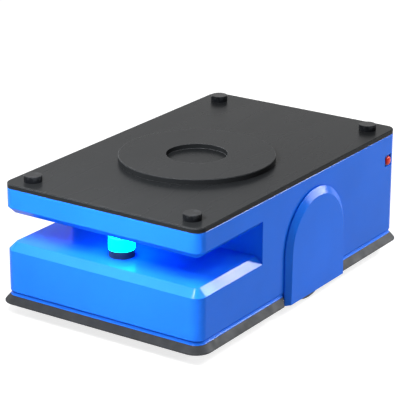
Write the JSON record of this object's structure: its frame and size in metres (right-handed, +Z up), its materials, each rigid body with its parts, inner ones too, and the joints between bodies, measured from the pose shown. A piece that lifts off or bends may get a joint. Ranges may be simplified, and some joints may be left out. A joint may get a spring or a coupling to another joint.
{
  "type": "autonomous mobile robot",
  "caption": "Low load-carrying mobile robot with a lifting turntable, arched wheel covers, a scanner slot and rubber bumpers.",
  "frame": {"origin": "on the floor under the middle of the robot", "axes": "+Z up, the front with the scanner slot faces -Y, width along X"},
  "size_m": [0.6526, 1.03, 0.386],
  "materials": {
    "body_blue": "satin blue paint on a moulded shell",
    "bumper_rubber": "dark grey bumper rubber",
    "plate_black": "fine satin black powder coat",
    "pad_black": "polished dark polyurethane",
    "tread_black": "black polyurethane tread",
    "cast_alloy": "cast and machined",
    "cast_alloy_dark": "dark anodised",
    "frame_grey": "dark grey powder coat",
    "motor_black": "black enamel",
    "zinc_steel": "zinc plated",
    "ground_steel": "ground and oiled",
    "caster_grey": "dark grey polyurethane",
    "scanner_dark": "satin",
    "scanner_glow": "lit cyan window",
    "button_red": "gloss",
    "battery_case": "textured"
  },
  "bodies": {
    "chassis": {"body_shell": "body_blue", "front_trim": "body_blue", "rear_trim": "body_blue", "wheel_cover_left": "body_blue", "wheel_cover_right": "body_blue", "button_socket": "body_blue", "front_bumper": "bumper_rubber", "rear_bumper": "bumper_rubber", "top_plate": "plate_black", "load_pad_front_left": "pad_black", "load_pad_front_right": "pad_black", "load_pad_rear_left": "pad_black", "load_pad_rear_right": "pad_black", "drive_bracket_left": "frame_grey", "drive_motor_left": "motor_black", "drive_bracket_right": "frame_grey", "drive_motor_right": "motor_black", "floor_pan": "frame_grey", "front_frame": "body_blue", "rear_frame": "body_blue", "caster_mount_front_left": "zinc_steel", "caster_mount_front_right": "zinc_steel", "caster_mount_rear_left": "zinc_steel", "caster_mount_rear_right": "zinc_steel", "lift_motor": "motor_black", "guide_posts": "ground_steel", "scanner_base": "scanner_dark", "scanner_seal": "scanner_dark", "scanner_window": "scanner_glow", "scanner_cap": "scanner_glow", "battery_pack": "battery_case", "drive_controller": "cast_alloy_dark"},
    "drive_wheel_left": {"drive_tyre_left": "tread_black", "drive_rim_left": "cast_alloy"},
    "drive_wheel_right": {"drive_tyre_right": "tread_black", "drive_rim_right": "cast_alloy"},
    "caster_swivel_front_left": {"caster_fork_front_left": "zinc_steel", "caster_axle_front_left": "zinc_steel"},
    "caster_roller_front_left": {"caster_wheel_front_left": "caster_grey"},
    "caster_swivel_front_right": {"caster_fork_front_right": "zinc_steel", "caster_axle_front_right": "zinc_steel"},
    "caster_roller_front_right": {"caster_wheel_front_right": "caster_grey"},
    "caster_swivel_rear_left": {"caster_fork_rear_left": "zinc_steel", "caster_axle_rear_left": "zinc_steel"},
    "caster_roller_rear_left": {"caster_wheel_rear_left": "caster_grey"},
    "caster_swivel_rear_right": {"caster_fork_rear_right": "zinc_steel", "caster_axle_rear_right": "zinc_steel"},
    "caster_roller_rear_right": {"caster_wheel_rear_right": "caster_grey"},
    "lift": {"lift_carriage": "cast_alloy", "turntable_bearing": "ground_steel", "turntable_motor": "motor_black"},
    "lift_screw": {"lift_screw": "ground_steel"},
    "turntable": {"turntable_spindle": "ground_steel", "turntable_disc": "plate_black"},
    "turntable_pinion": {"turntable_pinion": "ground_steel"},
    "scanner_head": {"scanner_head": "scanner_dark"},
    "stop_button": {"stop_button": "button_red"}
  },
  "joints": [
    {"name": "drive_left_spin", "type": "hinge", "parent": "chassis", "child": "drive_wheel_left", "pos_m": [-0.2733, 0.049, 0.13], "axis": [1, 0, 0], "continuous": true},
    {"name": "drive_right_spin", "type": "hinge", "parent": "chassis", "child": "drive_wheel_right", "pos_m": [0.2733, 0.049, 0.13], "axis": [1, 0, 0], "continuous": true},
    {"name": "caster_front_left_swivel", "type": "hinge", "parent": "chassis", "child": "caster_swivel_front_left", "pos_m": [-0.215, -0.4, 0.09], "axis": [0, 0, 1], "continuous": true},
    {"name": "caster_front_left_roll", "type": "hinge", "parent": "caster_swivel_front_left", "child": "caster_roller_front_left", "pos_m": [-0.215, -0.372, 0.04], "axis": [1, 0, 0], "continuous": true},
    {"name": "caster_front_right_swivel", "type": "hinge", "parent": "chassis", "child": "caster_swivel_front_right", "pos_m": [0.215, -0.4, 0.09], "axis": [0, 0, 1], "continuous": true},
    {"name": "caster_front_right_roll", "type": "hinge", "parent": "caster_swivel_front_right", "child": "caster_roller_front_right", "pos_m": [0.215, -0.372, 0.04], "axis": [1, 0, 0], "continuous": true},
    {"name": "caster_rear_left_swivel", "type": "hinge", "parent": "chassis", "child": "caster_swivel_rear_left", "pos_m": [-0.215, 0.4, 0.09], "axis": [0, 0, 1], "continuous": true},
    {"name": "caster_rear_left_roll", "type": "hinge", "parent": "caster_swivel_rear_left", "child": "caster_roller_rear_left", "pos_m": [-0.215, 0.428, 0.04], "axis": [1, 0, 0], "continuous": true},
    {"name": "caster_rear_right_swivel", "type": "hinge", "parent": "chassis", "child": "caster_swivel_rear_right", "pos_m": [0.215, 0.4, 0.09], "axis": [0, 0, 1], "continuous": true},
    {"name": "caster_rear_right_roll", "type": "hinge", "parent": "caster_swivel_rear_right", "child": "caster_roller_rear_right", "pos_m": [0.215, 0.428, 0.04], "axis": [1, 0, 0], "continuous": true},
    {"name": "lift_slide", "type": "slide", "parent": "chassis", "child": "lift", "axis": [0, 0, 1], "range_m": [0, 0.06]},
    {"name": "lift_screw_turn", "type": "hinge", "parent": "chassis", "child": "lift_screw", "pos_m": [0, -0.055, 0.2], "axis": [0, 0, 1], "range_deg": [0, 2160]},
    {"name": "turntable_turn", "type": "hinge", "parent": "lift", "child": "turntable", "pos_m": [0, -0.055, 0.24], "axis": [0, 0, 1], "continuous": true},
    {"name": "turntable_pinion_turn", "type": "hinge", "parent": "lift", "child": "turntable_pinion", "pos_m": [0, -0.1675, 0.24], "axis": [0, 0, 1], "continuous": true},
    {"name": "scanner_head_spin", "type": "hinge", "parent": "chassis", "child": "scanner_head", "pos_m": [0, -0.4, 0.23], "axis": [0, 0, 1], "continuous": true},
    {"name": "stop_button_push", "type": "slide", "parent": "chassis", "child": "stop_button", "axis": [1, 0, 0], "range_m": [-0.004, 0], "stiffness_N_per_m": 800, "springref_m": 0.002}
  ],
  "couplings": [
    {"joint": "lift_screw_turn", "follows": "lift_slide", "rad_per_m": 628.32},
    {"joint": "turntable_pinion_turn", "follows": "turntable_turn", "ratio": -4}
  ]
}
